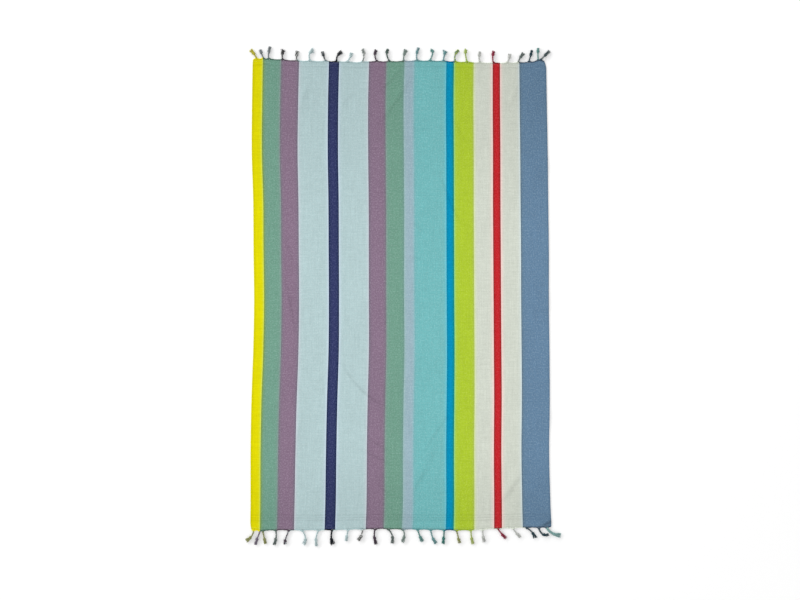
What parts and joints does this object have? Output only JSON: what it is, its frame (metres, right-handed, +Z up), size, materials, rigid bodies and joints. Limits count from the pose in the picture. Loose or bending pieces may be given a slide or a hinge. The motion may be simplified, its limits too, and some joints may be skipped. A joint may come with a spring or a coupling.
{
  "type": "beach towel",
  "caption": "Flat-woven cotton beach towel with lengthwise stripes in many colours and knotted tassels along both ends, laid out flat on the floor.",
  "frame": {"origin": "on the floor, under the middle of the towel's overall box with its tassels", "axes": "+X across the stripes from the yellow selvedge to the blue-grey one, +Y along the stripes, +Z up from the floor"},
  "size_m": [1.0616, 1.6843, 0.0082],
  "materials": {
    "cloth": "matt flat-woven cotton with lengthwise warp stripes",
    "fringe": "twisted cotton yarn"
  },
  "bodies": {
    "root": {"cloth": "cloth", "fringe_top": "fringe", "fringe_bottom": "fringe"}
  },
  "joints": []
}
